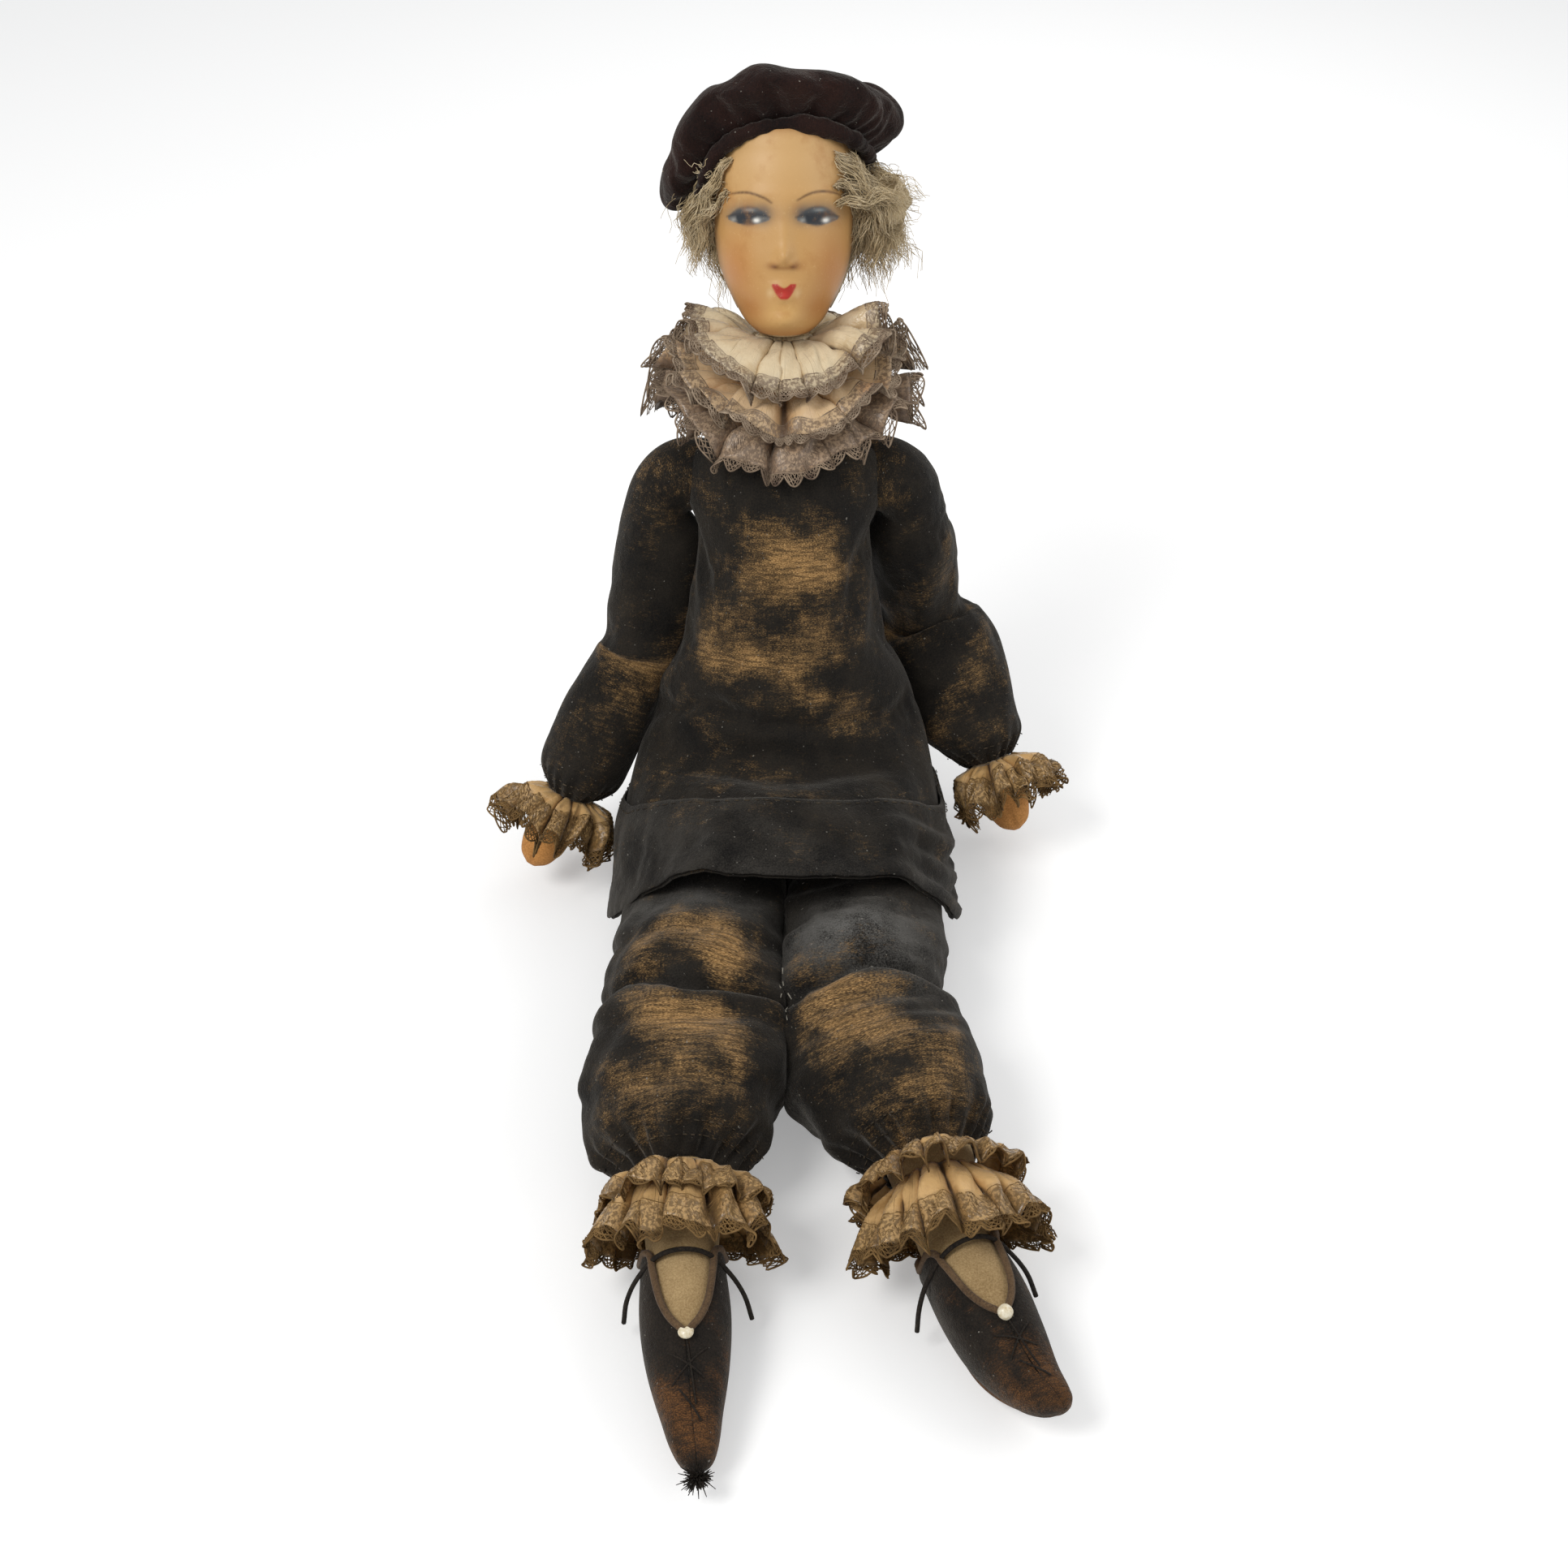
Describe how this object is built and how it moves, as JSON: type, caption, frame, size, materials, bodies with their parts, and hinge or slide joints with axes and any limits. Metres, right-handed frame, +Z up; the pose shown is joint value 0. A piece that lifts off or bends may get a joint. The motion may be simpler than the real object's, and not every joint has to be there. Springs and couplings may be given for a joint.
{
  "type": "cloth doll",
  "caption": "Seated stuffed cloth doll in a velvet suit and soft cap, with a painted face mask, gathered silk collar and cuffs, and pointed slippers; sewn limbs bend.",
  "frame": {"origin": "middle of the flat seat, on the floor", "axes": "the doll faces -Y with its legs forward, its own left is +X, +Z is up"},
  "size_m": [0.2964, 0.5753, 0.4026],
  "materials": {
    "bead": "glossy",
    "black_cord": "matte",
    "black_velvet": "worn pile",
    "body_cloth": "plain weave",
    "cap_velvet": "worn pile",
    "collar_silk": "satin",
    "cuff_silk": "satin",
    "hand_felt": "felt",
    "lace": "matte",
    "mohair": "frizzed",
    "painted_face": "painted satin",
    "sole_leather": "matte",
    "stocking": "knit"
  },
  "bodies": {
    "torso": {"stuffed_body": "body_cloth", "trouser_seat": "black_velvet", "tunic": "black_velvet", "tunic_hem_band": "black_velvet", "collar_band": "collar_silk", "collar_lower_tier": "collar_silk", "collar_lower_lace": "lace", "collar_middle_tier": "collar_silk", "collar_middle_lace": "lace", "collar_upper_tier": "collar_silk", "collar_upper_lace": "lace"},
    "head": {"cap_crown": "cap_velvet", "cap_rolled_edge": "cap_velvet", "stuffed_head": "body_cloth", "face_mask": "painted_face", "wig_left_bunch": "mohair", "wig_right_bunch": "mohair", "wig_back": "mohair"},
    "neck": {"stuffed_neck": "body_cloth"},
    "left_upper_arm": {"left_stuffed_upper_arm": "body_cloth", "left_upper_sleeve": "black_velvet"},
    "left_forearm": {"left_stuffed_forearm": "body_cloth", "left_lower_sleeve": "black_velvet", "left_wrist_ruffle": "cuff_silk", "left_wrist_lace": "lace", "left_hand": "hand_felt"},
    "right_upper_arm": {"right_stuffed_upper_arm": "body_cloth", "right_upper_sleeve": "black_velvet"},
    "right_forearm": {"right_stuffed_forearm": "body_cloth", "right_lower_sleeve": "black_velvet", "right_wrist_ruffle": "cuff_silk", "right_wrist_lace": "lace", "right_hand": "hand_felt"},
    "left_thigh": {"left_stuffed_thigh": "body_cloth", "left_upper_trouser_leg": "black_velvet"},
    "left_lower_leg": {"left_stuffed_lower_leg": "stocking", "left_lower_trouser_leg": "black_velvet", "left_ankle_upper_ruffle": "cuff_silk", "left_ankle_lower_ruffle": "cuff_silk", "left_ankle_lace": "lace", "left_shoe_upper": "black_velvet", "left_shoe_sole": "sole_leather", "left_shoe_bead": "bead", "left_shoe_tie": "black_cord"},
    "right_thigh": {"right_stuffed_thigh": "body_cloth", "right_upper_trouser_leg": "black_velvet"},
    "right_lower_leg": {"right_stuffed_lower_leg": "stocking", "right_lower_trouser_leg": "black_velvet", "right_ankle_upper_ruffle": "cuff_silk", "right_ankle_lower_ruffle": "cuff_silk", "right_ankle_lace": "lace", "right_shoe_upper": "black_velvet", "right_shoe_sole": "sole_leather", "right_shoe_bead": "bead", "right_shoe_tie": "black_cord", "right_toe_tuft": "black_cord"}
  },
  "joints": [
    {"name": "neck_nod", "type": "hinge", "parent": "torso", "child": "neck", "pos_m": [0, 0.06197, 0.24788], "axis": [1, 0, 0], "range_deg": [-8, 5]},
    {"name": "head_turn", "type": "hinge", "parent": "neck", "child": "head", "pos_m": [0, 0.07395, 0.27754], "axis": [0, 0.3746, 0.9272], "range_deg": [-25, 25]},
    {"name": "left_shoulder", "type": "hinge", "parent": "torso", "child": "left_upper_arm", "pos_m": [0.063, 0.0478, 0.21282], "axis": [-1, 0, 0], "range_deg": [-8, 85]},
    {"name": "left_elbow", "type": "hinge", "parent": "left_upper_arm", "child": "left_forearm", "pos_m": [0.08454, 0.05614, 0.11758], "axis": [-1, 0, 0], "range_deg": [-40, 16]},
    {"name": "right_shoulder", "type": "hinge", "parent": "torso", "child": "right_upper_arm", "pos_m": [-0.063, 0.0478, 0.21282], "axis": [-1, 0, 0], "range_deg": [-30, 62]},
    {"name": "right_elbow", "type": "hinge", "parent": "right_upper_arm", "child": "right_forearm", "pos_m": [-0.08203, 0.0189, 0.12114], "axis": [-1, 0, 0], "range_deg": [-10, 46]},
    {"name": "left_hip", "type": "hinge", "parent": "torso", "child": "left_thigh", "pos_m": [0.042, -0.05, 0.042], "axis": [1, 0, 0], "range_deg": [-2, 66]},
    {"name": "left_knee", "type": "hinge", "parent": "left_thigh", "child": "left_lower_leg", "pos_m": [0.05036, -0.18674, 0.042], "axis": [1, 0, 0], "range_deg": [-4, 54]},
    {"name": "right_hip", "type": "hinge", "parent": "torso", "child": "right_thigh", "pos_m": [-0.042, -0.05, 0.042], "axis": [1, 0, 0], "range_deg": [-2, 66]},
    {"name": "right_knee", "type": "hinge", "parent": "right_thigh", "child": "right_lower_leg", "pos_m": [-0.04989, -0.18677, 0.042], "axis": [1, 0, 0], "range_deg": [-4, 54]}
  ]
}
